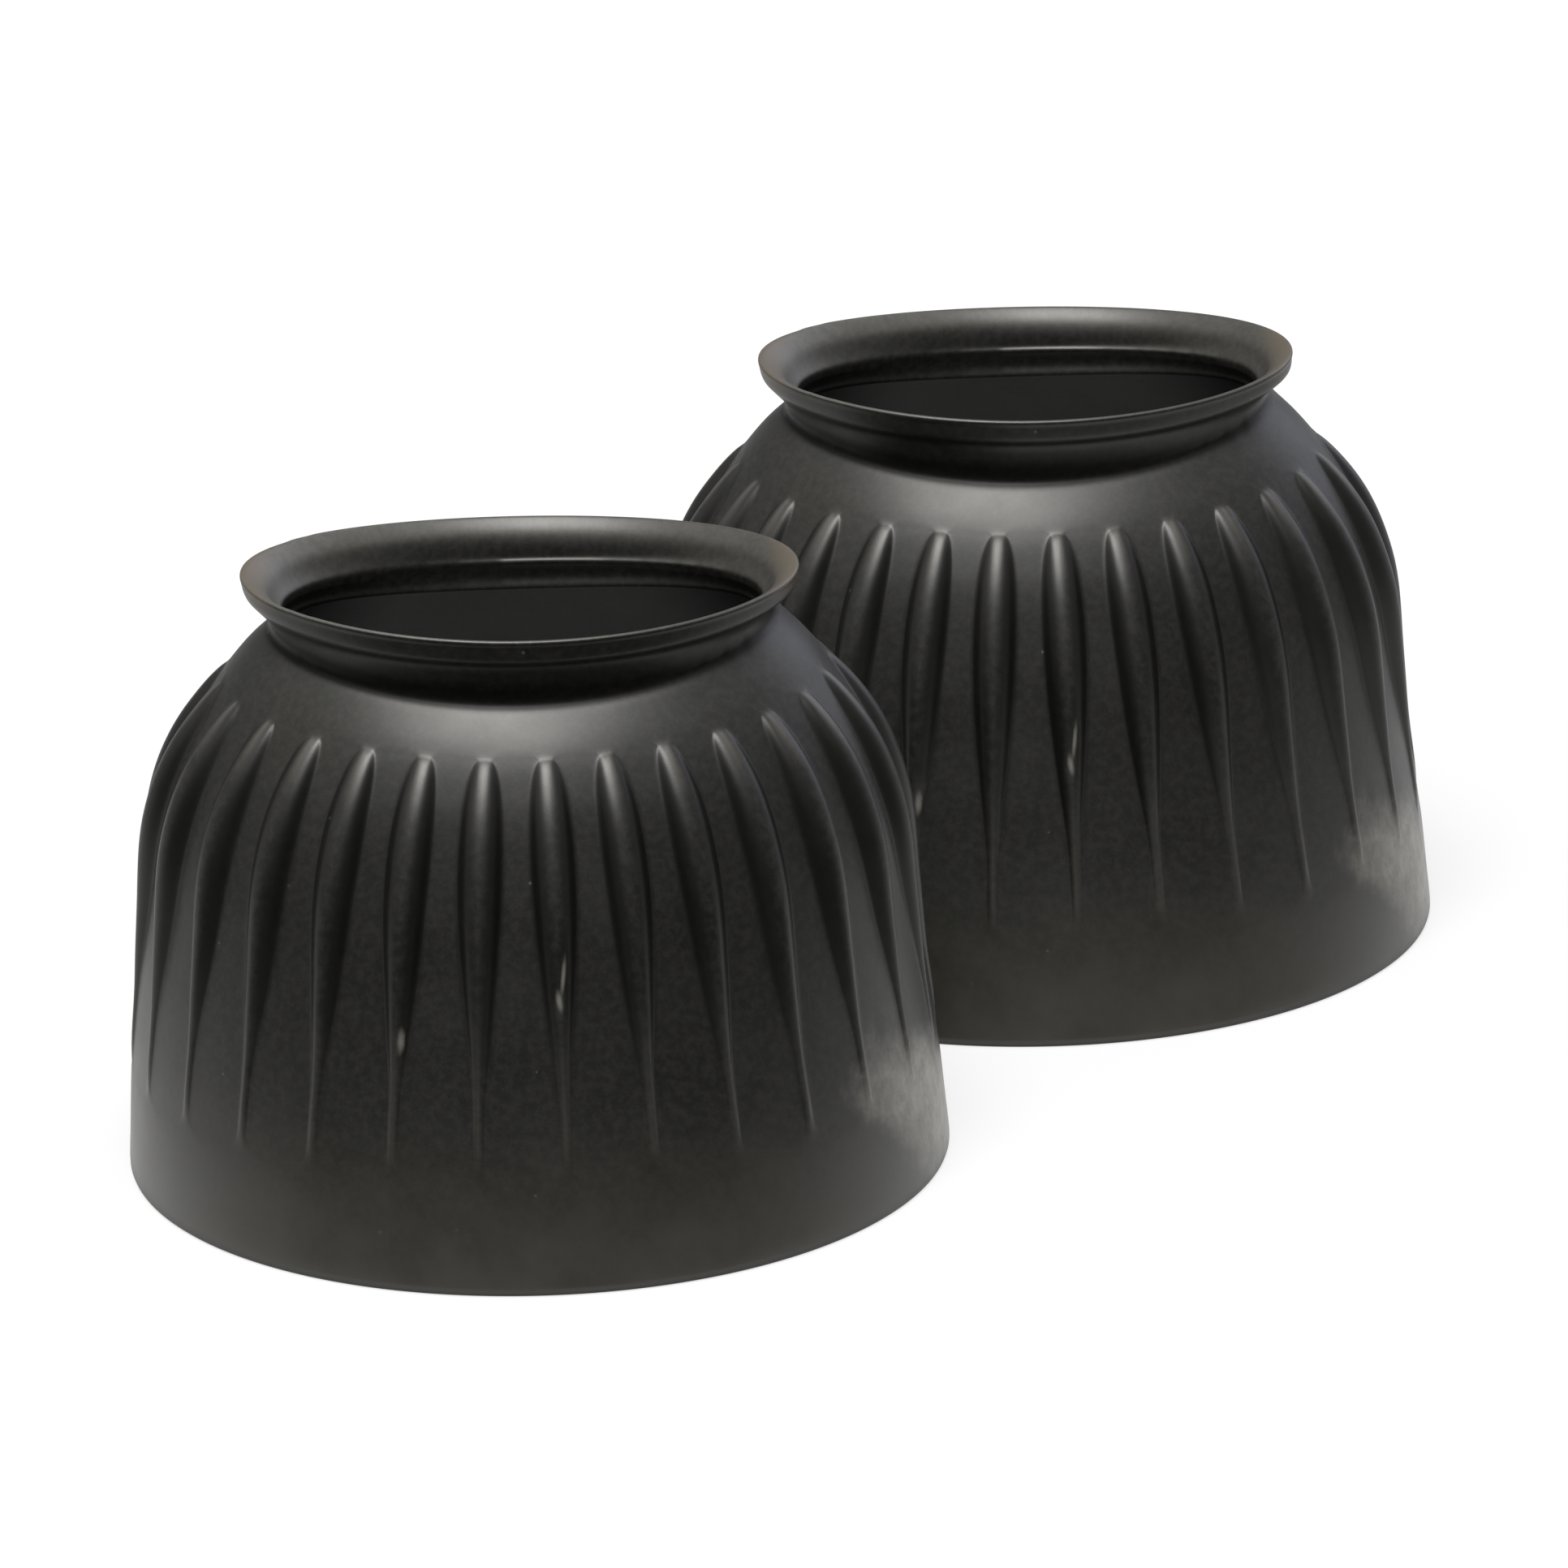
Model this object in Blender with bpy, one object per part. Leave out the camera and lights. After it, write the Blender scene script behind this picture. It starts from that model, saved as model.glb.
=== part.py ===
"""Pair of pull-on bell boots for a horse: two ribbed, one-piece rubber bells standing on their hems."""
import bmesh
import bpy
import numpy as np

for old in list(bpy.data.objects):
    bpy.data.objects.remove(old, do_unlink=True)

# Driving dimensions, in millimetres. Heights are those at the two sides of a boot.
HEM_RADIUS = 75.5        # outer radius at the floor, where the bell keeps the round shape of its mould
LIP_TOP = 112.1          # overall height
WALL = 3.5               # rubber thickness of the skirt and the shoulder
HEM_EDGE = 0.7           # worn corner along the outside of the hem

RIB_COUNT = 28
RIB_PHASE = 0.306        # place of the first rib right of the front, in pitches
RIB_FOOT = 22.0          # height where the ribs fade out
RIB_NOSE = 93.5          # height where the ribs start, on the shoulder
RIB_HEIGHT = 2.7         # greatest height of the rib's body over its strip
RIB_WIDTH = 7.8          # greatest width
RIB_BODY = 0.86          # share of the rib's length, from the nose, that the rounded body takes
RIB_RISE = 0.68          # how steeply it climbs from the nose: lower is blunter
RIB_SWELL = 0.6          # how quickly it widens from the nose: lower is blunter
RIB_FALL = 1.2           # how quickly it sinks and narrows towards its lower end
STRIP_HEIGHT = 0.6       # thin strip under the body, which runs on below it and fades
STRIP_NOSE = 2.8         # width of the strip at the nose
STRIP_FOOT = 2.0         # and at its lower end
RIB_ROWS = 13            # sections along a rib

NECK_WIDTH = 46.3        # outer half width of the neck
NECK_BORE = 43.3         # half width of the tight ring inside the neck
NECK_RATIO = 0.745       # depth of the neck as a share of its width
NECK_SPREAD = 2.4        # how far the neck spreads at its two sides on the way up to the lip
BORE_RATIO = 0.723
LIP_WIDTH = 50.35        # half width of the turned-out lip
LIP_RATIO = 0.715
LIP_CROWN = 0.6          # rounding of the lip's outer edge over to its crown

NECK_ROOT = 102.4        # height of the sharp hollow where the neck meets the shoulder
LIP_ROOT = 107.0         # height of the crease under the lip
BORE_TOP = 105.6         # the tight ring, from the foot of the funnel
BORE_FOOT = 101.5
SHOULDER_TOP = 85.0      # height where the skirt turns over into the shoulder
SHOULDER_DIP = 2.4       # how much lower the pressed top sits at front and back than at the sides
NECK_DIP = 4.6
LIP_DIP = 2.2

BOOT_STEP_X = 97.0       # the second boot stands to the right of the first
BOOT_STEP_Y = 118.0      # and behind it, clear of its hem

# Wall between the ribs: height, half width, depth as a share of width. The soft top is pressed oval.
SECTIONS = (
    (0.0, HEM_RADIUS, 1.000),
    (RIB_FOOT, 73.5, 0.932),
    (50.0, 69.4, 0.857),
    (70.0, 66.2, 0.799),
    (SHOULDER_TOP, 60.4, 0.773),
    (97.0, 52.1, 0.764),
    (NECK_ROOT, 47.2, 0.750),
)
MM = 0.001


def along(column, height):
    """One column of the sections at a height, as a smooth curve through them, and its slope."""
    z = np.array([s[0] for s in SECTIONS])
    value = np.array([s[column] for s in SECTIONS])
    slope = np.gradient(value, z)
    k = int(np.clip(np.searchsorted(z, height) - 1, 0, len(z) - 2))
    span = z[k + 1] - z[k]
    u = (height - z[k]) / span
    low = (1 + 2 * u) * (1 - u) ** 2 * value[k] + u * (1 - u) ** 2 * span * slope[k]
    high = u * u * (3 - 2 * u) * value[k + 1] + u * u * (u - 1) * span * slope[k + 1]
    return low + high


def wall_at(height):
    """Half width and half depth of the wall between the ribs."""
    width = along(1, height)
    return width, width * along(2, height)


def inside_at(height):
    """Height, half width and half depth of the inner face, one wall thickness in from the outside."""
    step = 0.5
    width, depth = wall_at(height)
    wide_low, deep_low = wall_at(height - step)
    wide_high, deep_high = wall_at(height + step)
    lean = (wide_low - wide_high) / (2 * step)
    lean_deep = (deep_low - deep_high) / (2 * step)
    across = WALL / np.hypot(1.0, lean)
    across_deep = WALL / np.hypot(1.0, lean_deep)
    return height - across * lean, width - across, depth - across_deep


def hump(share, rise, fall):
    """A rounded rise and a longer fall between 0 and 1, with a top of 1."""
    peak = rise / (rise + fall)
    top = peak ** rise * (1 - peak) ** fall
    return share ** rise * (1 - share) ** fall / top


def dip(height):
    """How far the ring at this height sinks at the front and the back."""
    levels = (RIB_FOOT, SHOULDER_TOP, NECK_ROOT, LIP_ROOT)
    return np.interp(height, levels, (0.0, SHOULDER_DIP, NECK_DIP, LIP_DIP))


def ring(bm, height, width, depth, offsets, proud):
    """Vertices round an oval, the same offsets (mm, or pitches for the half pitch) in every pitch of the ribs."""
    turn = np.linspace(0.0, 2 * np.pi, 1441)
    x = width * np.sin(turn)
    y = -depth * np.cos(turn)
    run = np.concatenate(([0.0], np.cumsum(np.hypot(np.diff(x), np.diff(y)))))
    pitch = run[-1] / RIB_COUNT
    verts = []
    for rib in range(RIB_COUNT):
        centre = (rib + RIB_PHASE) * pitch
        for offset, out in zip(offsets, proud):
            shift = -0.5 * pitch if offset is None else offset
            angle = np.interp((centre + shift) % run[-1], run, turn)
            normal = np.array((depth * np.sin(angle), -width * np.cos(angle)))
            normal /= np.linalg.norm(normal)
            px = width * np.sin(angle) + normal[0] * out
            py = -depth * np.cos(angle) + normal[1] * out
            pz = height - dip(height) * np.cos(angle) ** 2
            verts.append(bm.verts.new((px * MM, py * MM, pz * MM)))
    return verts


def plain_ring(bm, height, width, depth):
    """A ring with two vertices a pitch: one midway between ribs and one in line with the rib."""
    return ring(bm, height, width, depth, (None, 0.0), (0.0, 0.0))


def rib_ring(bm, share):
    """A ring through the ribs: valley, foot, flank, crest, flank, foot."""
    height = RIB_NOSE + (RIB_FOOT - RIB_NOSE) * share
    width, depth = wall_at(height)
    body = min(1.0, share / RIB_BODY)
    tall = 2 * STRIP_HEIGHT * np.sqrt(share * (1 - share)) + RIB_HEIGHT * hump(body, RIB_RISE, RIB_FALL)
    strip = STRIP_NOSE + (STRIP_FOOT - STRIP_NOSE) * share
    broad = strip + (RIB_WIDTH - strip) * hump(body, RIB_SWELL, RIB_FALL)
    offsets = (None, -0.5 * broad, -0.29 * broad, 0.0, 0.29 * broad, 0.5 * broad)
    proud = (0.0, 0.0, 0.78 * tall, tall, 0.78 * tall, 0.0)
    return ring(bm, height, width, depth, offsets, proud)


def skin(bm, lower, upper):
    """Faces between two rings. Where a ribbed ring meets a plain one, six columns gather into two."""
    count = len(lower)
    if count == len(upper):
        for i in range(count):
            j = (i + 1) % count
            bm.faces.new((lower[i], lower[j], upper[j], upper[i]))
        return
    fine, plain = (lower, upper) if count > len(upper) else (upper, lower)
    for rib in range(RIB_COUNT):
        valley, foot, flank, crest, flank_2, foot_2 = fine[6 * rib:6 * rib + 6]
        next_valley = fine[(6 * rib + 6) % len(fine)]
        mid, top = plain[2 * rib:2 * rib + 2]
        next_mid = plain[(2 * rib + 2) % len(plain)]
        bm.faces.new((valley, foot, mid))
        bm.faces.new((foot, flank, top, mid))
        bm.faces.new((flank, crest, top))
        bm.faces.new((crest, flank_2, top))
        bm.faces.new((flank_2, foot_2, next_mid, top))
        bm.faces.new((foot_2, next_valley, next_mid))


def boot_mesh():
    """One boot as a closed rubber wall: up the outside, over the lip and down the inside to the hem."""
    bm = bmesh.new()
    rings = []
    for height, width in ((0.0, HEM_RADIUS - HEM_EDGE), (HEM_EDGE, HEM_RADIUS)):
        rings.append(plain_ring(bm, height, width, width))
    rings.append(plain_ring(bm, 0.5 * RIB_FOOT, *wall_at(0.5 * RIB_FOOT)))
    for k in reversed(range(RIB_ROWS)):
        rings.append(rib_ring(bm, (k / (RIB_ROWS - 1)) ** 1.5))
    for height in (97.0, 100.0):
        rings.append(plain_ring(bm, height, *wall_at(height)))

    # Neck outside: upright at front and back, spreading in a straight cone to the lip at the two sides
    neck_depth = NECK_WIDTH * NECK_RATIO
    for height, wider, deeper in ((NECK_ROOT, 0.6, 0.6), (NECK_ROOT + 0.9, 0.4, 0.0), (LIP_ROOT, NECK_SPREAD, 0.2)):
        rings.append(plain_ring(bm, height, NECK_WIDTH + wider, neck_depth + deeper))

    # Lip: underside, outer face and rounded crown
    lip_depth = LIP_WIDTH * LIP_RATIO
    for drop, inset in ((3.5, LIP_CROWN), (1.5, 0.2), (0.4, 0.0), (0.0, LIP_CROWN)):
        rings.append(plain_ring(bm, LIP_TOP - drop, LIP_WIDTH - inset, lip_depth - inset))

    # Funnel, steeper and steeper from the crown down to the tight ring of the neck
    bore_depth = NECK_BORE * BORE_RATIO
    for drop, share in ((0.9, 0.27), (2.3, 0.54), (5.5, 0.85)):
        width = LIP_WIDTH + (NECK_BORE - LIP_WIDTH) * share
        rings.append(plain_ring(bm, LIP_TOP - drop, width, lip_depth + (bore_depth - lip_depth) * share))
    for height in (BORE_TOP, BORE_FOOT):
        rings.append(plain_ring(bm, height, NECK_BORE, bore_depth))

    # Inside of the bell, one wall thickness in, down to the flat under the hem
    for height in (98.5, 91.0, 82.0, 70.0, 50.0, 25.0):
        rings.append(plain_ring(bm, *inside_at(height)))
    rings.append(plain_ring(bm, 0.0, HEM_RADIUS - WALL, HEM_RADIUS - WALL))
    for lower, upper in zip(rings, rings[1:] + rings[:1]):
        skin(bm, lower, upper)
    bmesh.ops.recalc_face_normals(bm, faces=bm.faces)

    mesh = bpy.data.meshes.new("bell_boot")
    bm.to_mesh(mesh)
    bm.free()
    mesh.shade_smooth()
    mesh.set_sharp_from_angle(angle=np.radians(35))
    return mesh


def black_rubber():
    """Moulded black rubber with a dull satin surface."""
    material = bpy.data.materials.new("black_moulded_rubber")
    material.use_nodes = True
    shader = material.node_tree.nodes["Principled BSDF"]
    shader.inputs["Base Color"].default_value = (0.019, 0.019, 0.018, 1.0)
    shader.inputs["Roughness"].default_value = 0.48
    shader.inputs["Metallic"].default_value = 0.0
    return material


pair = bpy.data.objects.new("bell_boots", None)
bpy.context.scene.collection.objects.link(pair)
mesh = boot_mesh()
mesh.materials.append(black_rubber())
for name, side in (("left_boot", -0.5), ("right_boot", 0.5)):
    boot = bpy.data.objects.new(name, mesh)
    boot.location = (side * BOOT_STEP_X * MM, side * BOOT_STEP_Y * MM, 0.0)
    boot.parent = pair
    bpy.context.scene.collection.objects.link(boot)
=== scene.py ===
"""Pair of black rubber pull-on bell boots on a white studio floor."""
import math

import bmesh
import bpy
import numpy as np
from mathutils import Matrix, Vector


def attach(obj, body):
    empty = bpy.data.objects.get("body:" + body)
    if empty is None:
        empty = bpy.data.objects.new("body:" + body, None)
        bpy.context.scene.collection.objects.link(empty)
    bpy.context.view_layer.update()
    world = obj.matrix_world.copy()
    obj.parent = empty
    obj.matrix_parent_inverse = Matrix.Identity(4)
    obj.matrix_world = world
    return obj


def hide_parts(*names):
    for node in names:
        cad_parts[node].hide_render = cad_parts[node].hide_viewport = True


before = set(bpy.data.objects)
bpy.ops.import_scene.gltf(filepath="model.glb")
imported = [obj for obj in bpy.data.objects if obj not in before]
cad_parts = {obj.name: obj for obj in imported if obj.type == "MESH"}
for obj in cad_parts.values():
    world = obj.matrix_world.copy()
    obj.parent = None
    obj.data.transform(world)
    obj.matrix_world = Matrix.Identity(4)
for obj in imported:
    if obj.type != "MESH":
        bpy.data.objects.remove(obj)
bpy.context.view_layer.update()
scene = bpy.context.scene
MM = 0.001

# Sizes of one boot in millimetres, with heights taken at its two sides
HEM_RADIUS = 75.5
WALL = 3.5
NECK_ROOT = 102.4
NECK_WIDTH, NECK_DEPTH = 46.3, 34.5
BORE_WIDTH, BORE_DEPTH = 43.3, 31.3
LIP_TOP = 112.1
LIP_WIDTH, LIP_DEPTH = 50.35, 36.0
BOOT_STEP = Vector((97.0, 118.0, 0.0)) * MM    # from the left boot to the right one

# Wall between the ribs: height, half width, half depth
WALL_SECTIONS = (
    (0.0, HEM_RADIUS, HEM_RADIUS),
    (22.0, 73.5, 68.5),
    (50.0, 69.4, 59.5),
    (70.0, 66.2, 52.9),
    (85.0, 60.4, 46.7),
    (97.0, 52.1, 39.8),
    (NECK_ROOT, 47.2, 35.4),
)

# Levels of the wall, up the outside, over the lip and down the inside
HEM_LEVELS = ((0.0, -1.6), (0.0, -0.8), (0.25, -0.2), (1.0, 0.0))    # height, and out from the hem's radius
SKIRT_LEVELS = (6.0, 12.0, 16.0, 18.7)
SHOULDER_LEVELS = (94.5, 96.5, 98.5, 100.3, 101.4)
NECK_LEVELS = (                                # height, and how much wider and deeper than the neck
    (102.1, 0.8, 0.75),
    (102.7, 0.45, 0.2),
    (103.8, 0.8, 0.0),
    (105.6, 1.8, 0.0),
    (106.6, 2.4, 0.1),
    (107.2, 2.8, 0.4),
    (107.8, 3.15, 0.9),
    (108.4, 3.45, 1.2),
    (108.8, 3.65, 1.25),
)
# Drop from the top and inset from the lip's edge, for its outer face and crown and for the funnel inside it
LIP_LEVELS = ((2.4, 0.2), (1.4, 0.2), (1.1, 0.15), (0.9, 0.05), (0.5, 0.0), (0.15, 0.2), (0.0, 0.6))
FUNNEL_LEVELS = ((0.25, 0.45), (0.86, 1.15), (1.8, 2.0), (2.8, 2.65), (3.9, 3.15), (5.0, 3.5), (5.7, 3.65))
FUNNEL_RIM_WIDTH, FUNNEL_RIM_DEPTH = 0.6, 0.5
FUNNEL_STRETCH = 1.4                           # the funnel is this much broader at its two ends
BORE_LEVELS = (                                # height, and out from the bore: a ledge, a hollow and a bead
    (106.0, 0.45),
    (105.85, 0.25),
    (105.7, 0.05),
    (105.4, -0.1),
    (105.0, 0.25),
    (104.2, 0.45),
    (103.5, 0.5),
    (103.0, 0.15),
    (102.5, -0.2),
    (102.0, -0.1),
    (101.4, 0.6),
)
INSIDE_LEVELS = (98.5, 94.0, 88.0, 80.0, 70.0, 55.0, 38.0, 20.0, 6.0)
HEM_INSIDE_LEVELS = ((0.8, 0.0), (0.0, 0.6))   # height, and out from the inner wall

# Ribs: a bullet-shaped body on a thin strip, which runs on below the body and fades
RIBS = 28
RIB_PHASE = 0.306                              # place of the first rib right of the front, in pitches
RIB_FOOT, RIB_NOSE = 20.0, 93.5
RIB_HEIGHT, RIB_WIDTH = 2.65, 7.8
RIB_BODY = 0.80                                # share of the rib's length that the body takes, from its nose
RIB_RISE, RIB_SWELL = 0.68, 0.6                # how it climbs and widens from the nose: lower is blunter
RIB_FALL = 1.2                                 # how it sinks and narrows towards its foot
STRIP_HEIGHT, STRIP_NOSE, STRIP_FOOT = 0.8, 2.4, 2.0
STRIP_ENDS = 0.35                              # how blunt the strip's two ends are
RIB_STEPS = 26
RIB_CROWDING = 1.6                             # levels crowd together towards the nose
# Columns on each side of the crest: place across the rib in rib widths, and the share of the rib's height
# there at the nose and at the foot
RIB_FLANK = ((0.58, 0.0, 0.0), (0.50, 0.0, 0.0), (0.40, 0.42, 0.28), (0.27, 0.84, 0.60))
CREST = (0.0, 1.0, 1.0)
VALLEY = (None, 0.0, 0.0)
LEFT_FLANK = tuple((-place, nose_lift, foot_lift) for place, nose_lift, foot_lift in RIB_FLANK)
COLUMNS = (VALLEY, *LEFT_FLANK, CREST, *reversed(RIB_FLANK), VALLEY)
SPANS = len(COLUMNS) - 1
# Wear and painted shade of the ribs: how far the crest's wear and the flanks' painted shade reach across,
# in rib widths, and the height in mm under which a flank is too low to be painted in shade
CREST_REACH, FLANK_SHADE_REACH, FLANK_SHADE_LOW = 0.3, 0.55, 0.7

# How far each level sinks at the front and back of the pressed oval top
DIP_HEIGHTS, DIPS = (22.0, 85.0, NECK_ROOT, 107.0), (0.0, 2.4, 4.6, 2.2)
# The soft lip has set a little askew: how much it stands up all round, and more towards its left end
LIP_SET, LIP_ASKEW = 0.45, 0.6
# At its left and right ends it has drawn the neck in, and the shoulder up after it
NECK_PINCH, NECK_DRAW = (1.3, 2.0), (0.5, 1.8)
PINCH_HEIGHTS, PINCH_SHARES = (100.3, 102.1, 105.6, 108.8), (0, 1, 1, 0)
DRAW_HEIGHTS, DRAW_SHARES = (100.3, 102.1, 108.8), (0, 1, 0)
# The left side of the boot has set a little fuller than its right
LEFT_HEIGHTS = (0.0, 22.0, 40.0, 60.0, 74.0, 87.0, 103.0, 108.0, 112.0)
LEFT_SET = (-0.3, 0.5, 0.9, 0.7, 0.7, -0.1, 0.0, 0.2, 0.9)
# The foot of the neck, which nothing rubs, keeps a dull skin and is painted in shade under the lip, less so
# towards its right end
DULL_SHADE_HEIGHTS, DULL_SHADE_SHARES = (101.4, 102.1, 103.8, 106.6, 107.2), (0, 1, 1, 0.1, 0)
DULL_SHADE_RIGHT = 0.5
# So do the two ends of the inside, below the ledge, from a share of the half width outwards
DULL_SHADE_INSIDE_TOP = 105.0
DULL_SHADE_ENDS, DULL_SHADE_END_SHARES = (0.4, 0.9), (0, 1)

# Worn ends of the oval: levels between two heights and two half widths, the end (-1 left, 1 right), and steps
# of smoothing, each with its reach from the middle and its count
LEDGE = (103.4, 110.9, 0.0, 45.5)
HOLLOW = (100.0, 104.0, NECK_WIDTH, HEM_RADIUS)
CROWN = (110.9, 112.2, 0.0, HEM_RADIUS)
WORN_ENDS = (
    (LEDGE, -1, ((4, 3), (11, 3), (17, 3), (24, 3))),
    (LEDGE, 1, ((15, 1), (22, 1), (28, 2), (32, 4), (37, 8))),
    (HOLLOW, -1, ((36, 2), (40, 2))),
    (HOLLOW, 1, ((32, 2), (36, 4), (40, 4))),
    (CROWN, -1, ((38, 2), (42, 4))),
)

# Nicks in the ribs, on the skirt rolled out flat: place round from the front, height, half width, half length
# and lean in degrees
SKIRT_ROLL = 72.0
NICKS = ((6.3, 55.0, 0.7, 4.8, 10.0), (5.2, 50.8, 1.0, 2.6, -8.0), (-28.2, 43.4, 0.9, 3.0, 0.0))
NICK_DEPTH = 0.35

# Pale patch of bloom on the rolled-out skirt: place round, height, half width, half height and lean
PATCH = (95.0, 13.0, 25.0, 10.5, -31.0)

# Studio, in metres: paper floor, soft box, and the windows of the room as direction, strength, edge and tint
FLOOR_SIZE = 12.0
PAPER_END = (-0.22, -0.14)                     # where, in the rubber's sheen only, the paper gives way to a painted dark reflection before the boots
SOFT_BOX_PLACE = Vector((-0.27, -0.86, 2.4))
SOFT_BOX_AIM = Vector((0.0, 0.0, 0.05))
SOFT_BOX_SIZE = 1.2
SOFT_BOX_POWER = 78.0
WINDOWS = (
    ((0.64, 0.64, 0.42), 1.4, 0.85, "#eaedff"),
    ((-0.743, 0.0, 0.669), 0.3, 0.75, "#fffdf0"),
)

# Camera, from the photograph's square frame in pixels
IMAGE = 1932
BASE_PIXEL = (664.5, 1412.0)                   # middle of the front boot's hem on the floor
PIXELS_PER_MM = 6.7
CAMERA_TILT = 21.0
CAMERA_ROLL = 1.8
CAMERA_DISTANCE = 2.5
SENSOR = 36.0


def between(value, places, amounts):
    """The amount at a value, on straight lines through the amounts at these places."""
    return float(np.interp(value, places, amounts))


def wall_section(height):
    """Half width and half depth of the wall at a height, on a smooth curve through the sections."""
    z = np.array([s[0] for s in WALL_SECTIONS])
    k = int(np.clip(np.searchsorted(z, height) - 1, 0, len(z) - 2))
    span = z[k + 1] - z[k]
    u = (height - z[k]) / span
    sizes = []
    for column in (1, 2):
        value = np.array([s[column] for s in WALL_SECTIONS])
        slope = np.gradient(value, z)
        low = (1 + 2 * u) * (1 - u) ** 2 * value[k] + u * (1 - u) ** 2 * span * slope[k]
        high = u * u * (3 - 2 * u) * value[k + 1] + u * u * (u - 1) * span * slope[k + 1]
        sizes.append(low + high)
    return sizes


def hump(share, rise, fall):
    """Rounded rise and longer fall along a rib, 1 at the top."""
    peak = rise / (rise + fall)
    return share ** rise * (1 - share) ** fall / (peak ** rise * (1 - peak) ** fall)


def boot_levels():
    """The wall's levels in order, each with its height, half width, half depth and share along the ribs."""
    levels = [(height, HEM_RADIUS + out, HEM_RADIUS + out, None) for height, out in HEM_LEVELS]
    levels += [(height, *wall_section(height), None) for height in SKIRT_LEVELS]
    for k in reversed(range(RIB_STEPS + 1)):
        share = (k / RIB_STEPS) ** RIB_CROWDING
        height = RIB_NOSE + (RIB_FOOT - RIB_NOSE) * share
        levels.append((height, *wall_section(height), share))
    levels += [(height, *wall_section(height), None) for height in SHOULDER_LEVELS]
    for height, wider, deeper in NECK_LEVELS:
        levels.append((height, NECK_WIDTH + wider, NECK_DEPTH + deeper, None))
    levels += [(LIP_TOP - drop, LIP_WIDTH - inset, LIP_DEPTH - inset, None) for drop, inset in LIP_LEVELS]
    for drop, inset in FUNNEL_LEVELS:
        width = LIP_WIDTH - FUNNEL_RIM_WIDTH - FUNNEL_STRETCH * inset
        levels.append((LIP_TOP - drop, width, LIP_DEPTH - FUNNEL_RIM_DEPTH - inset, None))
    levels += [(height, BORE_WIDTH + out, BORE_DEPTH + out, None) for height, out in BORE_LEVELS]
    for height in INSIDE_LEVELS:
        # One wall thickness in, square to the wall's lean over a millimetre of height
        low, high = wall_section(height - 0.5), wall_section(height + 0.5)
        lean, lean_deep = low[0] - high[0], low[1] - high[1]
        across, across_deep = WALL / math.hypot(1.0, lean), WALL / math.hypot(1.0, lean_deep)
        width, depth = wall_section(height)
        levels.append((height - across * lean, width - across, depth - across_deep, None))
    inner = HEM_RADIUS - WALL
    levels += [(height, inner + out, inner + out, None) for height, out in HEM_INSIDE_LEVELS]
    return levels


def select_only(bm, verts):
    """Selects these vertices, and the edges between them, in edit mode."""
    bpy.ops.mesh.select_all(action="DESELECT")
    for v in verts:
        v.select = True
    bm.select_flush(True)
    bmesh.update_edit_mesh(bpy.context.object.data)


def turn_of(v):
    """Turn of a vertex round the boot, from the front towards the right."""
    return math.atan2(v.co.x, -v.co.y)


def oval_turns(width, depth):
    """Shares of an oval's length, the turns they are at, from the front towards the right, and its length."""
    turn = np.linspace(-math.pi, math.pi, 1441)
    steps = np.hypot(np.diff(width * np.sin(turn)), np.diff(depth * np.cos(turn)))
    run = np.concatenate(([0.0], np.cumsum(steps)))
    return run / run[-1] - 0.5, turn, run[-1]


def mould_boot(name):
    """One boot: a strip one rib wide is drawn up, turned into a bell, and its soft top is pressed oval."""
    levels = boot_levels()
    pitch = 2 * math.pi / RIBS
    bpy.ops.object.select_all(action="DESELECT")
    bpy.ops.mesh.primitive_circle_add(vertices=RIBS * SPANS, radius=levels[0][1] * MM)
    boot = bpy.context.object
    boot.name = name
    bpy.ops.object.mode_set(mode="EDIT")
    bpy.ops.mesh.select_mode(type="VERT")

    # Keep one pitch of the circle, from the middle of one valley to the middle of the next
    slack = 1e-4
    bm = bmesh.from_edit_mesh(boot.data)
    for v in bm.verts:
        v.select = not -slack <= turn_of(v) <= pitch + slack
    bm.select_flush(True)
    bpy.ops.mesh.delete(type="VERT")

    # Draw it up level by level, over the lip and down the inside
    bm = bmesh.from_edit_mesh(boot.data)
    level = bm.verts.layers.int.new("level")
    for mark in ("crest", "flank", "dull"):
        bm.verts.layers.float.new(mark)
    bpy.ops.mesh.select_all(action="SELECT")
    for k, ((z0, r0, *_), (z1, r1, *_)) in enumerate(zip(levels, levels[1:])):
        bpy.ops.mesh.extrude_region_move(TRANSFORM_OT_translate={"value": (0, 0, (z1 - z0) * MM)})
        bpy.ops.transform.resize(value=(r1 / r0, r1 / r0, 1), center_override=(0, 0, z1 * MM))
        for v in bm.verts:
            if v.select:
                v[level] = k + 1
    raise_rib(bm, levels)

    # Turn the strip round into the whole bell
    bpy.ops.mesh.select_all(action="SELECT")
    start = (RIB_PHASE - 0.5) * pitch
    bpy.ops.transform.rotate(value=-start, orient_axis="Z", center_override=(0, 0, 0))
    bpy.ops.mesh.spin(steps=RIBS - 1, dupli=True, use_auto_merge=False, angle=2 * math.pi - pitch,
                      center=(0, 0, 0), axis=(0, 0, 1))
    bpy.ops.mesh.select_all(action="SELECT")
    bpy.ops.mesh.remove_doubles(threshold=0.02 * MM)
    press_oval(boot, levels)
    soften_ends(boot, levels)

    # Flat under the hem, between the outer and the inner wall
    bm = bmesh.from_edit_mesh(boot.data)
    select_only(bm, [v for v in bm.verts if v.is_boundary])
    bpy.ops.mesh.bridge_edge_loops()
    bpy.ops.mesh.select_all(action="SELECT")
    bpy.ops.mesh.normals_make_consistent(inside=False)
    bpy.ops.object.mode_set(mode="OBJECT")
    fine = boot.modifiers.new("Subdivision", "SUBSURF")
    fine.levels = fine.render_levels = 1
    bpy.ops.object.modifier_apply(modifier=fine.name)
    cut_nicks(boot)
    bpy.ops.object.shade_smooth()
    boot.data.attributes.remove(boot.data.attributes["level"])
    return boot


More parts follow.
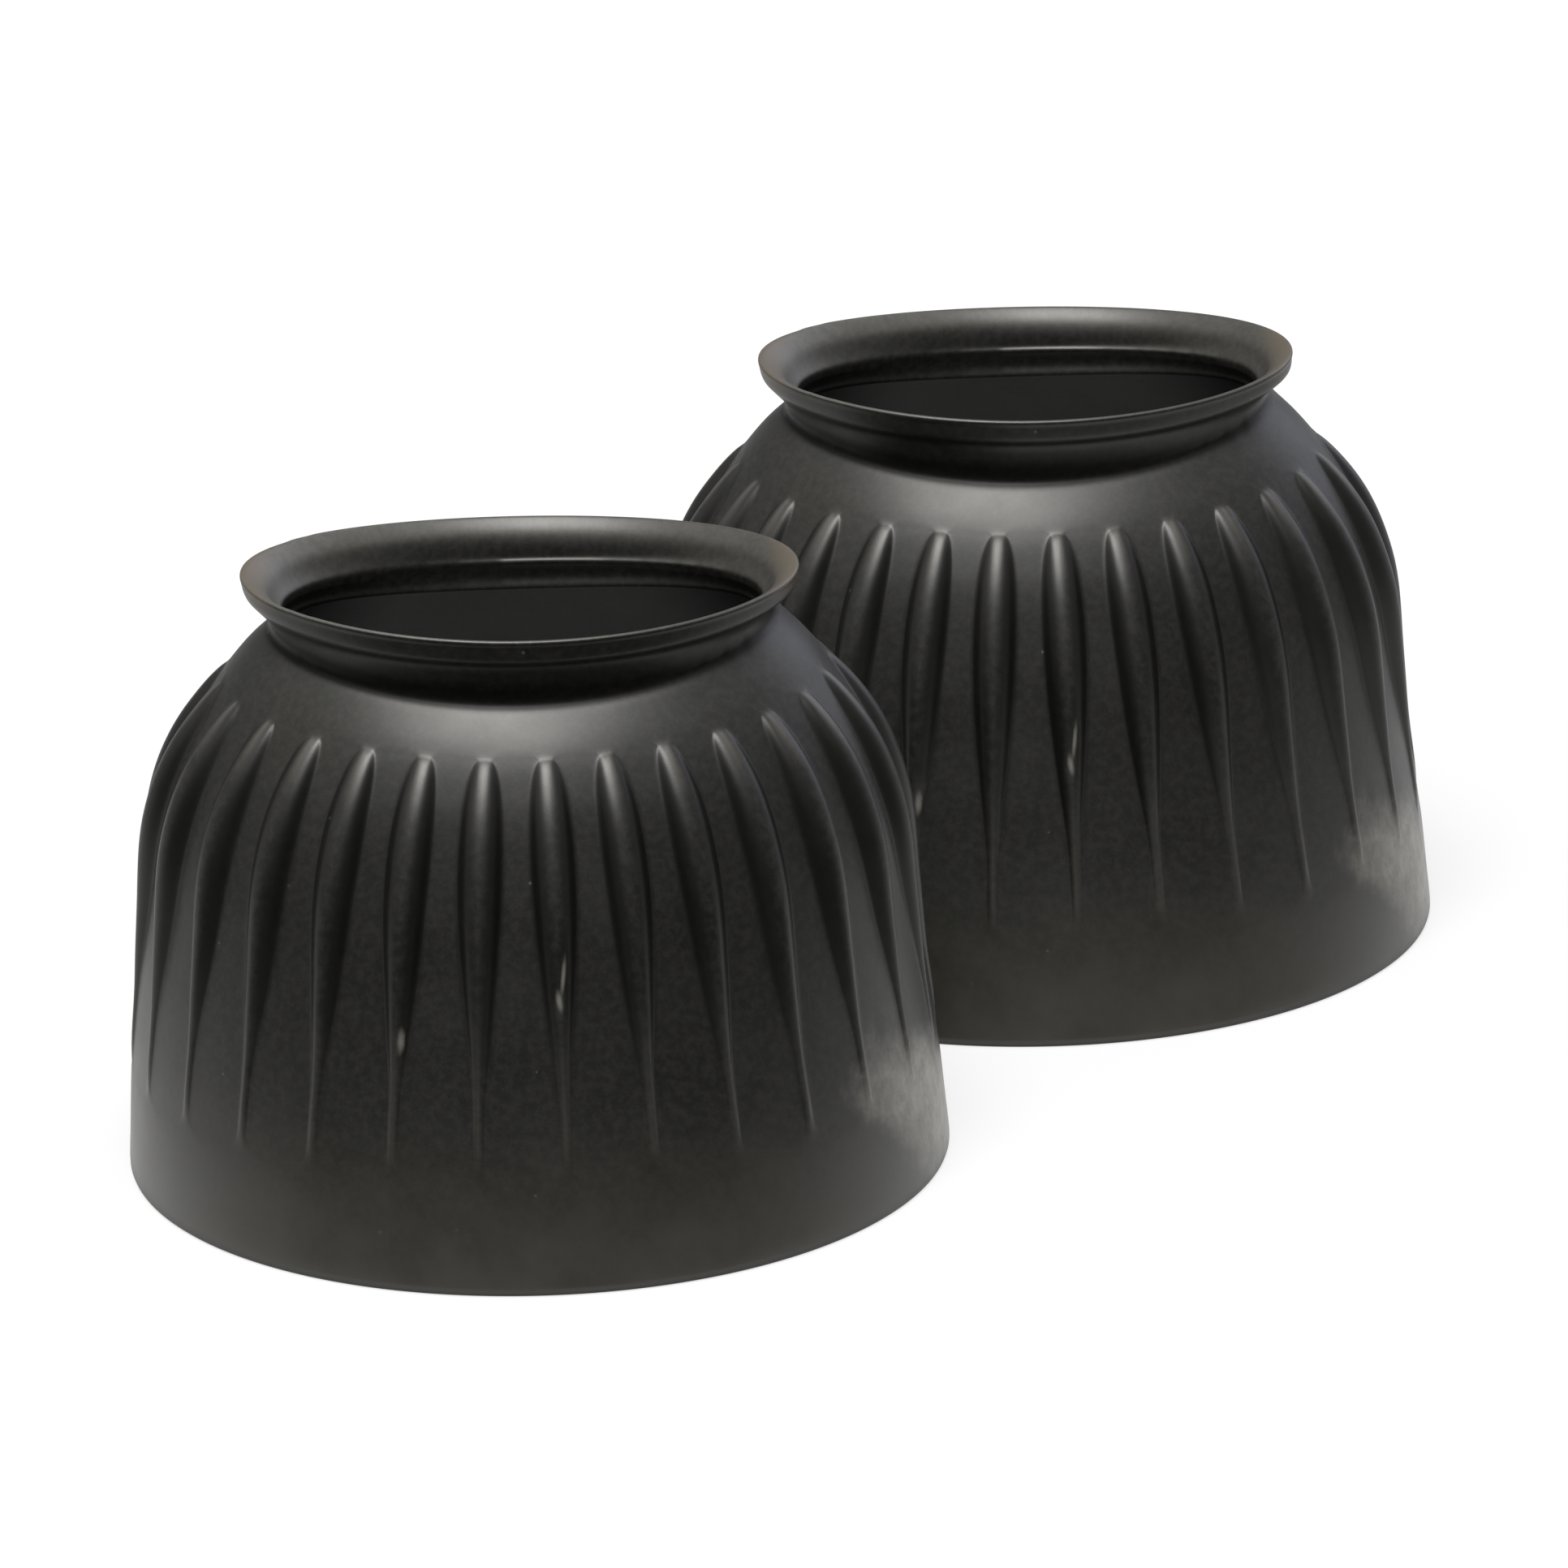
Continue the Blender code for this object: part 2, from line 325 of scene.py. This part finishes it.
def raise_rib(bm, levels):
    """Gathers the strip's columns under the rib, lifts its crest level by level, marks wear and painted
    shade.
    """
    level = bm.verts.layers.int["level"]
    crest, flank = bm.verts.layers.float["crest"], bm.verts.layers.float["flank"]
    strip = [[] for _ in levels]
    for v in bm.verts:
        strip[v[level]].append(v)
    half_pitch = math.pi / RIBS
    for row, (height, width, depth, share) in zip(strip, levels):
        if share is None:
            continue
        row.sort(key=turn_of)
        body = min(1.0, share / RIB_BODY)
        tall = STRIP_HEIGHT * hump(share, STRIP_ENDS, STRIP_ENDS)
        tall += RIB_HEIGHT * hump(body, RIB_RISE, RIB_FALL)
        strip_width = STRIP_NOSE + (STRIP_FOOT - STRIP_NOSE) * share
        broad = strip_width + (RIB_WIDTH - strip_width) * hump(body, RIB_SWELL, RIB_FALL)
        length = oval_turns(width, depth)[2]
        for v, (place, nose_lift, foot_lift) in zip(row, COLUMNS):
            if place is None:
                continue
            turn = turn_of(v) - half_pitch
            goal = place * broad / length * 2 * math.pi
            lift = tall * (nose_lift + (foot_lift - nose_lift) * share)
            select_only(bm, [v])
            bpy.ops.transform.rotate(value=-(goal - turn), orient_axis="Z", center_override=(0, 0, 0))
            if lift > 0:
                grow = (width + lift) / width
                bpy.ops.transform.resize(value=(grow, grow, 1), center_override=(0, 0, v.co.z))
            # The crest rubs along its middle, and over its whole width where it is a thin strip; its nose
            # also takes a painted highlight
            if abs(place) < CREST_REACH:
                v[crest] = min(1.0, 2 * tall) * (0.5 * share if place else 1.0)
            # The flanks are painted in shade, more where the rib stands taller
            if 0 < abs(place) < FLANK_SHADE_REACH:
                v[flank] = min(1.0, max(0.0, tall - FLANK_SHADE_LOW))


def press_oval(boot, levels):
    """Presses each round level into its oval without stretching it, lets it set, marks dull skin and painted
    shade.
    """
    bm = bmesh.from_edit_mesh(boot.data)
    level = bm.verts.layers.int["level"]
    dull = bm.verts.layers.float["dull"]
    ovals = [oval_turns(width, depth) for _, width, depth, _ in levels]
    bore = next(k for k, (_, width, *_) in enumerate(levels) if width < BORE_WIDTH + 0.5)
    for v in bm.verts:
        height, width, depth, _ = levels[v[level]]
        shares, turns, _ = ovals[v[level]]
        turn = between(turn_of(v) / (2 * math.pi), shares, turns)
        right = math.sin(turn)
        proud = math.hypot(v.co.x, v.co.y) / MM - width
        out = Vector((depth * right, -width * math.cos(turn))).normalized() * proud
        sink = between(height, DIP_HEIGHTS, DIPS) * math.cos(turn) ** 2
        sink -= between(height, (NECK_ROOT, LIP_TOP), (0, 1)) * (LIP_SET - LIP_ASKEW * right)
        x = width * right + out.x
        x -= between(height, LEFT_HEIGHTS, LEFT_SET) * max(0.0, -right) ** 2
        if width > NECK_WIDTH:
            end = 1 if turn > 0 else 0
            pinch = between(height, PINCH_HEIGHTS, PINCH_SHARES) * NECK_PINCH[end] * right ** 4
            x -= math.copysign(pinch, turn)
            sink -= between(height, DRAW_HEIGHTS, DRAW_SHARES) * NECK_DRAW[end] * right ** 4
            # Dull skin and painted shade at the foot of the neck
            v[dull] = between(height, DULL_SHADE_HEIGHTS, DULL_SHADE_SHARES) * (1 - DULL_SHADE_RIGHT * max(0.0, right))
        # Dull skin and painted shade at the two ends of the inside
        if v[level] > bore and height < DULL_SHADE_INSIDE_TOP:
            v[dull] = between(abs(right), DULL_SHADE_ENDS, DULL_SHADE_END_SHARES)
        v.co = Vector((x, -depth * math.cos(turn) + out.y, height - sink)) * MM
    bmesh.update_edit_mesh(boot.data)


def soften_ends(boot, levels):
    """Rounds off the ledge inside the neck, the hollow at its foot and the lip's crown at their worn ends."""
    bm = bmesh.from_edit_mesh(boot.data)
    level = bm.verts.layers.int["level"]
    for (lowest, highest, narrowest, widest), end, steps in WORN_ENDS:
        rows = []
        for k, (height, width, *_) in enumerate(levels):
            if lowest < height < highest and narrowest < width < widest:
                rows.append(k)
        for reach, count in steps:
            select_only(bm, [v for v in bm.verts if v[level] in rows and end * v.co.x / MM > reach])
            bpy.ops.mesh.vertices_smooth(factor=0.5, repeat=count)


def cut_nicks(boot):
    """Presses the small cuts into the outside of the wall."""
    bpy.ops.object.mode_set(mode="EDIT")
    bm = bmesh.from_edit_mesh(boot.data)
    for around, height, half_width, half_length, lean in NICKS:
        axis = Vector((math.sin(math.radians(lean)), math.cos(math.radians(lean))))
        hit = []
        for v in bm.verts:
            turn = turn_of(v)
            off = Vector((turn * SKIRT_ROLL - around, v.co.z / MM - height))
            along = off.dot(axis)
            across = off.x * axis.y - off.y * axis.x
            outside = Vector((math.sin(turn), -math.cos(turn), 0)).dot(v.normal) > 0
            if outside and (along / half_length) ** 2 + (across / half_width) ** 2 < 1:
                hit.append(v)
        select_only(bm, hit)
        bpy.ops.transform.shrink_fatten(value=-NICK_DEPTH * MM)
    bpy.ops.object.mode_set(mode="OBJECT")


def lay_wear_and_light_map(boot):
    """Keeps each point's place in the mould, and the lip's dust and painted top light, so both boots wear
    alike.
    """
    place = boot.data.attributes.new("mould_place", "FLOAT_VECTOR", "POINT")
    for point, vertex in zip(place.data, boot.data.vertices):
        point.vector = vertex.co
    dust_and_light = boot.data.attributes.new("lip_dust_and_light", "FLOAT", "POINT")
    for point, vertex in zip(dust_and_light.data, boot.data.vertices):
        if vertex.co.z > NECK_ROOT * MM:
            point.value = max(0.0, vertex.normal.z)


def set_down(boot, step):
    """Moves a boot to its place on the floor and keeps the place in its mesh."""
    bpy.ops.object.select_all(action="DESELECT")
    boot.select_set(True)
    bpy.context.view_layer.objects.active = boot
    boot.location = step
    bpy.ops.object.transform_apply(location=True, rotation=False, scale=False)


def linear(hex_colour):
    """A colour written as sRGB hex, as the linear values a shader takes."""
    value = [int(hex_colour[i:i + 2], 16) / 255 for i in (1, 3, 5)]
    return tuple(c / 12.92 if c <= 0.04045 else ((c + 0.055) / 1.055) ** 2.4 for c in value) + (1.0,)


def add_node(tree, kind, inputs=None, **settings):
    """Adds a node with its settings; an input takes a value, a socket or a node's first live output."""
    node = tree.nodes.new(kind)
    for name, value in settings.items():
        setattr(node, name, value)
    for name, source in (inputs or {}).items():
        if isinstance(source, bpy.types.Node):
            source = next(socket for socket in source.outputs if socket.enabled)
        if isinstance(source, bpy.types.NodeSocket):
            tree.links.new(source, node.inputs[name])
        else:
            node.inputs[name].default_value = source
    return node


def share_of(tree, *parts):
    """Product of parts: a plain share, or a soft step (source, start, end, share before, share after)."""
    product = None
    for part in parts:
        if isinstance(part, tuple):
            source, start, end, before, after = part
            step = {"Value": source, "From Min": start, "From Max": end, "To Min": before, "To Max": after}
            part = add_node(tree, "ShaderNodeMapRange", step, interpolation_type="SMOOTHSTEP")
        if product is None:
            product = part
        else:
            product = add_node(tree, "ShaderNodeMath", {0: product, 1: part}, operation="MULTIPLY")
    return product


def lay_over(tree, colour, hex_colour, *parts):
    """Lays a colour over the one below it, by the share that the parts give."""
    layer = {"Factor": share_of(tree, *parts), "A": colour, "B": linear(hex_colour)}
    return add_node(tree, "ShaderNodeMix", layer, data_type="RGBA")


def oval_spot(tree, skirt, around, height, half_width, half_height, lean):
    """Distance from the middle of an oval spot on the rolled-out skirt, 1 on its edge."""
    own = {
        "Vector": skirt,
        "Location": (around * MM, height * MM, 0),
        "Rotation": (0, 0, math.radians(lean)),
        "Scale": (half_width * MM, half_height * MM, 1),
    }
    centred = add_node(tree, "ShaderNodeMapping", own, vector_type="TEXTURE")
    return add_node(tree, "ShaderNodeVectorMath", {0: centred}, operation="LENGTH")


def moulded_black_rubber():
    """Natural rubber, compression moulded black: a satin skin that greys where it blooms and scuffs, with
    painted light and shade.
    """
    material = bpy.data.materials.new("black_moulded_rubber")
    material.use_nodes = True
    tree = material.node_tree
    tree.nodes.clear()
    crest, flank, dull, lip_dust_and_light = [
        add_node(tree, "ShaderNodeAttribute", attribute_name=name).outputs["Fac"]
        for name in ("crest", "flank", "dull", "lip_dust_and_light")
    ]
    place = add_node(tree, "ShaderNodeAttribute", attribute_name="mould_place").outputs["Vector"]
    x, y, z = add_node(tree, "ShaderNodeSeparateXYZ", {"Vector": place}).outputs

    # The skirt rolled out flat, by the turn round the boot
    forward = add_node(tree, "ShaderNodeMath", {0: y, 1: -1.0}, operation="MULTIPLY")
    turn = add_node(tree, "ShaderNodeMath", {0: x, 1: forward}, operation="ARCTAN2")
    rolled = add_node(tree, "ShaderNodeMath", {0: turn, 1: SKIRT_ROLL * MM}, operation="MULTIPLY")
    skirt = add_node(tree, "ShaderNodeCombineXYZ", {"X": rolled, "Y": z})

    # Patterns by their size in mm, detail and roughness: bloom, blotches, mottle, and the grain of the mould
    noise = []
    for size, detail, roughness in ((14.0, 4.0, 0.6), (5.0, 5.0, 0.7), (1.5, 5.0, 0.7), (0.4, 2.0, 0.5)):
        pattern = {"Vector": place, "Scale": 1 / (size * MM), "Detail": detail, "Roughness": roughness}
        noise.append(add_node(tree, "ShaderNodeTexNoise", pattern).outputs["Fac"])
    cloud, blotch, mottle, grain = noise

    # Black rubber, which blooms paler by a shade in clouds and in a fine mottle
    colour = linear("#0f0f0d")
    colour = lay_over(tree, colour, "#131311", (cloud, 0.35, 0.75, 0.0, 1.0))
    colour = lay_over(tree, colour, "#242320", (mottle, 0.35, 0.7, 0.0, 0.8))

    # Painted shade: the flanks of the ribs, the foot of the neck under the lip and the two ends of the inside
    # are darkened
    colour = lay_over(tree, colour, "#050504", flank, 0.85)
    colour = lay_over(tree, colour, "#050504", dull, 0.8)

    # The crests of the ribs rub grey, most of all on their noses and low down on their thin strips; on the
    # noses the paler grey is partly a painted highlight
    colour = lay_over(tree, colour, "#2c2b28", crest, (mottle, 0.4, 0.7, 0.0, 0.3))
    colour = lay_over(tree, colour, "#4c4a45", crest, (z, 82 * MM, 92 * MM, 0.0, 0.8))
    colour = lay_over(tree, colour, "#3b3a36", crest, (z, 52 * MM, 38 * MM, 0.0, 0.45))

    # Painted bounce light from the white floor: the lowest part of the skirt is paler, in clouds, towards the
    # hem.
    # The lip takes dust and painted top light where it faces up, more towards its left end
    colour = lay_over(tree, colour, "#35342f", (z, 34 * MM, 0.0, 0.0, 1.0), (cloud, 0.2, 0.8, 0.6, 1.0))
    settled_dust_and_light = share_of(tree, (lip_dust_and_light, 0.25, 0.7, 0.0, 1.0), (x, 30 * MM, -50 * MM, 0.5, 0.9))
    colour = lay_over(tree, colour, "#504f4a", settled_dust_and_light, (mottle, 0.3, 0.7, 0.7, 1.0))

    # Tan dirt from pulling the boots on, at the two ends of the lip
    outward = add_node(tree, "ShaderNodeMath", {0: x}, operation="ABSOLUTE")
    ends = (outward, 43 * MM, 49 * MM, 0.0, 0.7)
    colour = lay_over(tree, colour, "#574e41", ends, (z, 108 * MM, 110 * MM, 0.0, 1.0))

    # A pale bloomed patch low on the right, ragged at its edge and fading towards the front
    spot = oval_spot(tree, skirt, *PATCH)
    ragged = add_node(tree, "ShaderNodeMath", {0: cloud, 1: 1.6, 2: spot}, operation="MULTIPLY_ADD")
    blotched = (blotch, 0.3, 0.62, 0.6, 1.0)
    patch = share_of(tree, (ragged, 2.2, 1.15, 0.0, 1.0), blotched, (turn, 1.05, 1.5, 0.5, 1.0))
    colour = lay_over(tree, colour, "#c4c2b8", patch, (mottle, 0.3, 0.7, 0.8, 1.0))

    # Fresh cuts and stray specks of grit show raw grey
    for around, height, half_width, half_length, lean in NICKS:
        spot = oval_spot(tree, skirt, around, height, half_width, half_length, -lean)
        cut = add_node(tree, "ShaderNodeMath", {0: mottle, 1: 0.5, 2: spot}, operation="MULTIPLY_ADD")
        colour = lay_over(tree, colour, "#76746d", (cut, 1.25, 0.3, 0.0, 0.8))
    grit = add_node(tree, "ShaderNodeTexVoronoi", {"Vector": place, "Scale": 1 / (7 * MM)})
    lot = add_node(tree, "ShaderNodeSeparateColor", {"Color": grit.outputs["Color"]})
    few = (lot, 0.72, 0.95, 0.0, 1.0)
    colour = lay_over(tree, colour, "#484641", (grit.outputs["Distance"], 0.055, 0.03, 0.0, 1.0), few)

    # Satin sheen, patchier where it has bloomed and dull where nothing rubs, over a grain too fine to see
    # as bumps
    satin = share_of(tree, (cloud, 0.25, 0.75, 0.39, 0.44))
    rough = add_node(tree, "ShaderNodeMath", {0: patch, 1: 0.15, 2: satin}, operation="MULTIPLY_ADD")
    sheen = share_of(tree, (dull, 0.0, 1.0, 0.5, 0.12))
    bump = add_node(tree, "ShaderNodeBump", {"Height": grain, "Strength": 0.25, "Distance": 0.03 * MM})
    surface = {
        "Base Color": colour,
        "Roughness": rough,
        "IOR": 1.52,
        "Specular IOR Level": sheen,
        "Specular Tint": linear("#fffefa"),
        "Normal": bump,
    }
    shader = add_node(tree, "ShaderNodeBsdfPrincipled", surface)
    add_node(tree, "ShaderNodeOutputMaterial", {"Surface": shader})
    return material


def white_paper():
    """Matte white paper that keeps the boots' shadow, and glows in the rubber's sheen alone, a painted
    reflection that ends before them.
    """
    material = bpy.data.materials.new("white_paper")
    material.use_nodes = True
    tree = material.node_tree
    tree.nodes.clear()
    here = add_node(tree, "ShaderNodeTexCoord").outputs["Object"]
    depth = add_node(tree, "ShaderNodeSeparateXYZ", {"Vector": here}).outputs["Y"]
    left, right = [
        add_node(tree, "ShaderNodeVectorMath", {0: here, 1: centre}, operation="DISTANCE")
        for centre in (-BOOT_STEP / 2, BOOT_STEP / 2)
    ]
    near = add_node(tree, "ShaderNodeMath", {0: left, 1: right}, operation="MINIMUM")

    # White to the eye, a little less so round the boots, so that their shadow shows
    path = add_node(tree, "ShaderNodeLightPath")
    straight, through = path.outputs["Is Camera Ray"], path.outputs["Is Transmission Ray"]
    seen = add_node(tree, "ShaderNodeMath", {0: straight, 1: through}, operation="MAXIMUM")
    white = share_of(tree, seen, (near, 80 * MM, 500 * MM, 0.76, 0.88))

    # A glow that only the rubber's sheen sees, a painted reflection: dark under the hem, bright beside it,
    # falling off from there
    mirrored = path.outputs["Is Glossy Ray"]
    ratio = add_node(tree, "ShaderNodeMath", {0: 80 * MM, 1: near}, operation="DIVIDE")
    fall = add_node(tree, "ShaderNodeMath", {0: ratio, 1: 0.5}, operation="POWER")
    beside = (near, 72 * MM, 80 * MM, 0.12, 1.0)
    shine = share_of(tree, mirrored, (depth, *PAPER_END, 0.0, 1.0), beside, fall, 1.15)
    glow = add_node(tree, "ShaderNodeMath", {0: white, 1: shine}, operation="ADD")

    matte = add_node(tree, "ShaderNodeBsdfDiffuse", {"Color": linear("#707070")})
    lift = add_node(tree, "ShaderNodeEmission", {"Strength": glow})
    paper = add_node(tree, "ShaderNodeAddShader", {0: matte, 1: lift})
    # Past the paper's end the sheen sees only a faint glow: a painted dark reflection
    painted_dark_reflection = add_node(tree, "ShaderNodeEmission", {"Strength": 0.03})
    past_paper = share_of(tree, mirrored, (depth, *PAPER_END, 1.0, 0.0))
    surface = add_node(tree, "ShaderNodeMixShader", {0: past_paper, 1: paper, 2: painted_dark_reflection})
    add_node(tree, "ShaderNodeOutputMaterial", {"Surface": surface})
    return material


def roll_out_floor():
    """The sheet of paper that the boots stand on."""
    bpy.ops.object.select_all(action="DESELECT")
    bpy.ops.mesh.primitive_plane_add(size=FLOOR_SIZE)
    floor = bpy.context.object
    floor.name = "paper_floor"
    floor.data.materials.append(white_paper())


def hang_soft_box():
    """A square soft box over the front of the boots, which gives their shoulders a broad highlight."""
    bpy.ops.object.light_add(type="AREA", location=SOFT_BOX_PLACE)
    box = bpy.context.object
    box.name = "overhead_soft_box"
    box.data.size = SOFT_BOX_SIZE
    box.data.energy = SOFT_BOX_POWER
    box.visible_camera = False
    box.rotation_euler = (SOFT_BOX_AIM - SOFT_BOX_PLACE).to_track_quat("-Z", "Y").to_euler()


def light_room():
    """A room that is white to the eye; to the boots it is dim behind the camera, with two windows."""
    world = bpy.data.worlds.new("studio_room")
    scene.world = world
    world.use_nodes = True
    tree = world.node_tree
    tree.nodes.clear()
    look = add_node(tree, "ShaderNodeTexCoord").outputs["Generated"]
    axes = add_node(tree, "ShaderNodeSeparateXYZ", {"Vector": look}).outputs
    walls = share_of(tree, (axes["Y"], -0.9, 0.2, 0.05, 0.3))
    ceiling = share_of(tree, (axes["Z"], 0.3, 0.9, 0.0, 0.4))
    dim = add_node(tree, "ShaderNodeMath", {0: walls, 1: ceiling}, operation="ADD")
    room = add_node(tree, "ShaderNodeBackground", {"Color": dim})
    for direction, strength, edge, tint in WINDOWS:
        facing = add_node(tree, "ShaderNodeVectorMath", {0: look, 1: direction}, operation="DOT_PRODUCT")
        bright = share_of(tree, (facing, edge, 1.0, 0.0, strength))
        pane = add_node(tree, "ShaderNodeBackground", {"Color": linear(tint), "Strength": bright})
        room = add_node(tree, "ShaderNodeAddShader", {0: room, 1: pane})
    white = add_node(tree, "ShaderNodeBackground", {"Color": linear("#ffffff")})
    path = add_node(tree, "ShaderNodeLightPath")
    straight, through = path.outputs["Is Camera Ray"], path.outputs["Is Transmission Ray"]
    seen = add_node(tree, "ShaderNodeMath", {0: straight, 1: through}, operation="MAXIMUM")
    surface = add_node(tree, "ShaderNodeMixShader", {0: seen, 1: room, 2: white})
    add_node(tree, "ShaderNodeOutputWorld", {"Surface": surface})


def aim_camera():
    """Long lens above the front, rolled between the two boots' leans, with the front base on its pixel."""
    tilt, roll = math.radians(CAMERA_TILT), math.radians(CAMERA_ROLL)
    ahead = Vector((0, math.cos(tilt), -math.sin(tilt)))
    level_right, level_up = Vector((1, 0, 0)), Vector((0, math.sin(tilt), math.cos(tilt)))
    right = math.cos(roll) * level_right - math.sin(roll) * level_up
    up = math.sin(roll) * level_right + math.cos(roll) * level_up
    focal = CAMERA_DISTANCE / MM * PIXELS_PER_MM
    base = -BOOT_STEP / 2
    across = (IMAGE / 2 - BASE_PIXEL[0]) / focal
    drop = (BASE_PIXEL[1] - IMAGE / 2) / focal
    aim = (ahead + across * right + drop * up).normalized()
    right = (right - right.dot(aim) * aim).normalized()
    up = right.cross(aim)
    bpy.ops.object.camera_add()
    camera = bpy.context.object
    camera.name = "studio_camera"
    camera.matrix_world = Matrix((right, up, -aim)).transposed().to_4x4()
    camera.location = base - CAMERA_DISTANCE * ahead
    camera.data.sensor_width = SENSOR
    camera.data.lens = SENSOR * focal / IMAGE
    scene.camera = camera


left = mould_boot("left_bell_boot")
lay_wear_and_light_map(left)
left.data.materials.append(moulded_black_rubber())
bpy.ops.object.select_all(action="DESELECT")
left.select_set(True)
bpy.ops.object.duplicate()
right = bpy.context.object
right.name = "right_bell_boot"
set_down(left, -BOOT_STEP / 2)
set_down(right, BOOT_STEP / 2)
for boot, node in ((left, "left_boot"), (right, "right_boot")):
    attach(boot, node)
    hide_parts(node)

roll_out_floor()
hang_soft_box()
light_room()
aim_camera()
scene.view_settings.view_transform = "Standard"
